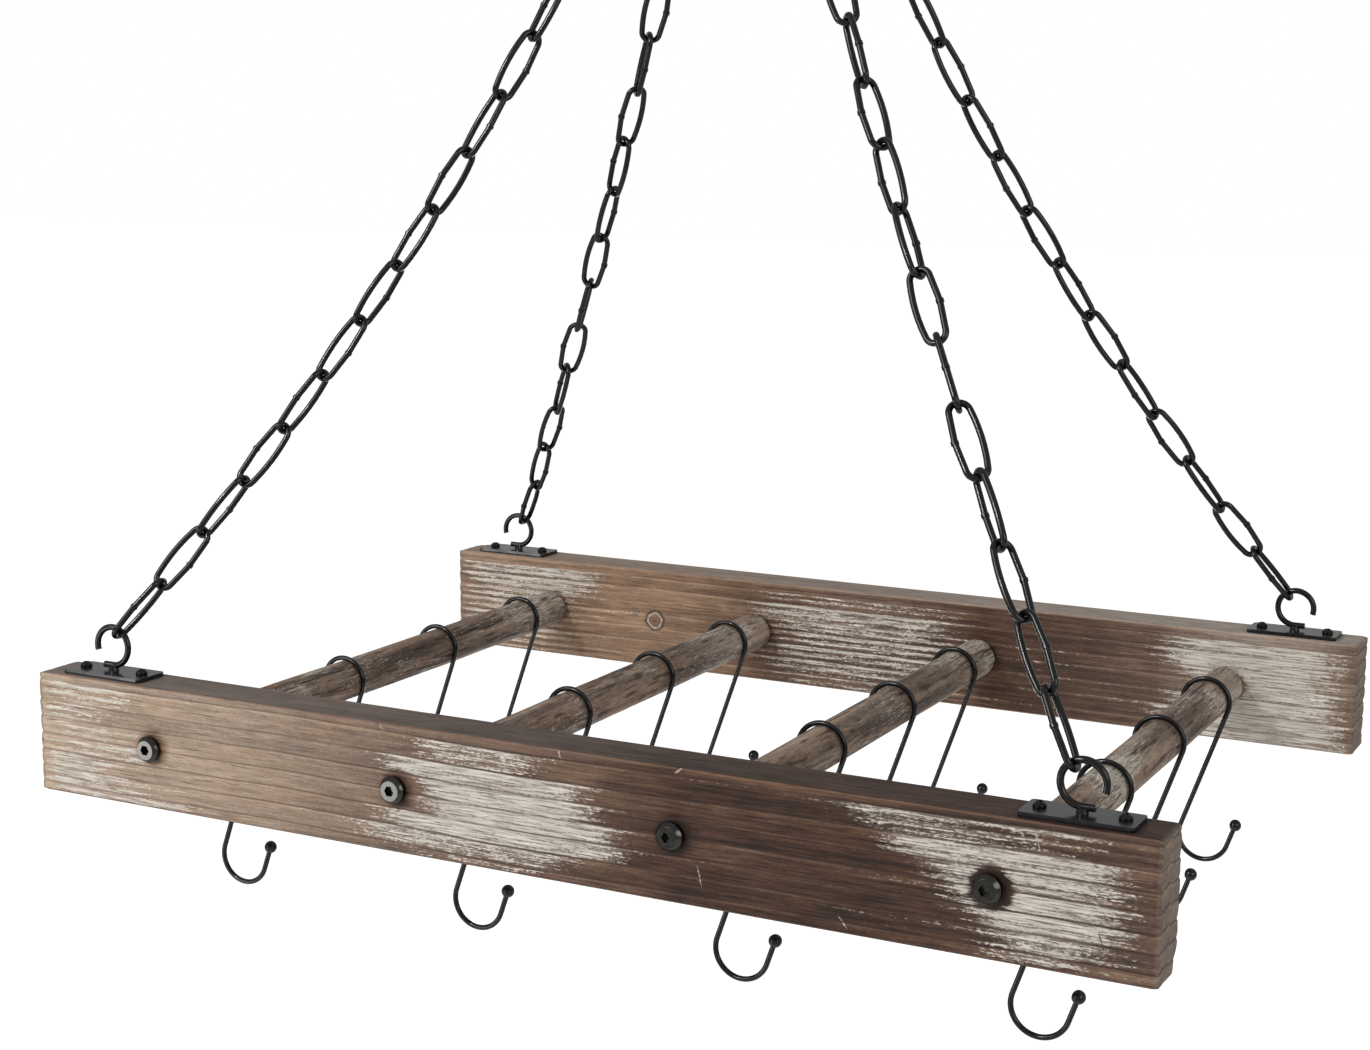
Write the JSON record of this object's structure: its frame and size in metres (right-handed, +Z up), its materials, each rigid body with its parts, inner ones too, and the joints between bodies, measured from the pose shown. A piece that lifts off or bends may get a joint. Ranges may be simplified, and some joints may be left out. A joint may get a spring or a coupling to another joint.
{
  "type": "hanging pot rack",
  "caption": "Ceiling-hung timber pot rack: two beams joined by round rungs that carry S-shaped pot hooks, on chains that meet at a ring.",
  "frame": {"origin": "middle of the ceiling plate's upper face, where the rack meets the ceiling", "axes": "+Z up, X along the beams with the front beam's right end towards +X, Y along the rungs from the front beam to the back beam"},
  "size_m": [0.75, 0.5512, 0.9123],
  "materials": {
    "painted_black_steel": "satin black powder coat",
    "beam_wood": "weathered brown fir with a whitewash",
    "rung_wood": "dark weathered timber with a whitewash",
    "zinc_steel": "zinc plated"
  },
  "bodies": {
    "ceiling_fixing": {"ceiling_plate": "painted_black_steel", "ceiling_hook": "painted_black_steel"},
    "gather_ring": {"gather_ring": "painted_black_steel"},
    "rack": {"chain_front_left": "painted_black_steel", "chain_front_right": "painted_black_steel", "chain_back_left": "painted_black_steel", "chain_back_right": "painted_black_steel", "hanger_hook_front_left": "painted_black_steel", "hanger_hook_front_right": "painted_black_steel", "hanger_hook_back_left": "painted_black_steel", "hanger_hook_back_right": "painted_black_steel", "hanger_plate_front_left": "painted_black_steel", "hanger_plate_front_right": "painted_black_steel", "hanger_plate_back_left": "painted_black_steel", "hanger_plate_back_right": "painted_black_steel", "plate_screws": "painted_black_steel", "front_beam": "beam_wood", "back_beam": "beam_wood", "rung_1": "rung_wood", "rung_2": "rung_wood", "rung_3": "rung_wood", "rung_4": "rung_wood", "rung_bolts": "painted_black_steel", "rung_inserts": "zinc_steel"},
    "pot_hook_1_1": {"pot_hook_1_1": "painted_black_steel"},
    "pot_hook_1_2": {"pot_hook_1_2": "painted_black_steel"},
    "pot_hook_1_3": {"pot_hook_1_3": "painted_black_steel"},
    "pot_hook_1_4": {"pot_hook_1_4": "painted_black_steel"},
    "pot_hook_2_1": {"pot_hook_2_1": "painted_black_steel"},
    "pot_hook_2_2": {"pot_hook_2_2": "painted_black_steel"},
    "pot_hook_2_3": {"pot_hook_2_3": "painted_black_steel"},
    "pot_hook_2_4": {"pot_hook_2_4": "painted_black_steel"},
    "pot_hook_3_1": {"pot_hook_3_1": "painted_black_steel"},
    "pot_hook_3_2": {"pot_hook_3_2": "painted_black_steel"},
    "pot_hook_3_3": {"pot_hook_3_3": "painted_black_steel"},
    "pot_hook_3_4": {"pot_hook_3_4": "painted_black_steel"},
    "pot_hook_4_1": {"pot_hook_4_1": "painted_black_steel"},
    "pot_hook_4_2": {"pot_hook_4_2": "painted_black_steel"},
    "pot_hook_4_3": {"pot_hook_4_3": "painted_black_steel"},
    "pot_hook_4_4": {"pot_hook_4_4": "painted_black_steel"}
  },
  "joints": [
    {"name": "ring_swing", "type": "hinge", "parent": "ceiling_fixing", "child": "gather_ring", "pos_m": [0, 0, -0.0384], "axis": [-0.6116, 0.7912, 0], "range_deg": [-15, 15]},
    {"name": "rack_swing", "type": "hinge", "parent": "gather_ring", "child": "rack", "pos_m": [0, 0, -0.07672], "axis": [0.7912, 0.6116, 0], "range_deg": [-12, 12]},
    {"name": "pot_hook_1_1_swing", "type": "hinge", "parent": "rack", "child": "pot_hook_1_1", "pos_m": [-0.282, -0.1815, -0.79579], "axis": [0, 1, 0], "range_deg": [-40, 40]},
    {"name": "pot_hook_1_2_swing", "type": "hinge", "parent": "rack", "child": "pot_hook_1_2", "pos_m": [-0.282, -0.0605, -0.79579], "axis": [0, 1, 0], "range_deg": [-40, 40]},
    {"name": "pot_hook_1_3_swing", "type": "hinge", "parent": "rack", "child": "pot_hook_1_3", "pos_m": [-0.282, 0.0605, -0.79579], "axis": [0, 1, 0], "range_deg": [-40, 40]},
    {"name": "pot_hook_1_4_swing", "type": "hinge", "parent": "rack", "child": "pot_hook_1_4", "pos_m": [-0.282, 0.1815, -0.79579], "axis": [0, 1, 0], "range_deg": [-40, 40]},
    {"name": "pot_hook_2_1_swing", "type": "hinge", "parent": "rack", "child": "pot_hook_2_1", "pos_m": [-0.094, -0.1815, -0.79579], "axis": [0, 1, 0], "range_deg": [-40, 40]},
    {"name": "pot_hook_2_2_swing", "type": "hinge", "parent": "rack", "child": "pot_hook_2_2", "pos_m": [-0.094, -0.0605, -0.79579], "axis": [0, 1, 0], "range_deg": [-40, 40]},
    {"name": "pot_hook_2_3_swing", "type": "hinge", "parent": "rack", "child": "pot_hook_2_3", "pos_m": [-0.094, 0.0605, -0.79579], "axis": [0, 1, 0], "range_deg": [-40, 40]},
    {"name": "pot_hook_2_4_swing", "type": "hinge", "parent": "rack", "child": "pot_hook_2_4", "pos_m": [-0.094, 0.1815, -0.79579], "axis": [0, 1, 0], "range_deg": [-40, 40]},
    {"name": "pot_hook_3_1_swing", "type": "hinge", "parent": "rack", "child": "pot_hook_3_1", "pos_m": [0.094, -0.1815, -0.79579], "axis": [0, 1, 0], "range_deg": [-40, 40]},
    {"name": "pot_hook_3_2_swing", "type": "hinge", "parent": "rack", "child": "pot_hook_3_2", "pos_m": [0.094, -0.0605, -0.79579], "axis": [0, 1, 0], "range_deg": [-40, 40]},
    {"name": "pot_hook_3_3_swing", "type": "hinge", "parent": "rack", "child": "pot_hook_3_3", "pos_m": [0.094, 0.0605, -0.79579], "axis": [0, 1, 0], "range_deg": [-40, 40]},
    {"name": "pot_hook_3_4_swing", "type": "hinge", "parent": "rack", "child": "pot_hook_3_4", "pos_m": [0.094, 0.1815, -0.79579], "axis": [0, 1, 0], "range_deg": [-40, 40]},
    {"name": "pot_hook_4_1_swing", "type": "hinge", "parent": "rack", "child": "pot_hook_4_1", "pos_m": [0.282, -0.1815, -0.79579], "axis": [0, 1, 0], "range_deg": [-40, 40]},
    {"name": "pot_hook_4_2_swing", "type": "hinge", "parent": "rack", "child": "pot_hook_4_2", "pos_m": [0.282, -0.0605, -0.79579], "axis": [0, 1, 0], "range_deg": [-40, 40]},
    {"name": "pot_hook_4_3_swing", "type": "hinge", "parent": "rack", "child": "pot_hook_4_3", "pos_m": [0.282, 0.0605, -0.79579], "axis": [0, 1, 0], "range_deg": [-40, 40]},
    {"name": "pot_hook_4_4_swing", "type": "hinge", "parent": "rack", "child": "pot_hook_4_4", "pos_m": [0.282, 0.1815, -0.79579], "axis": [0, 1, 0], "range_deg": [-40, 40]}
  ]
}
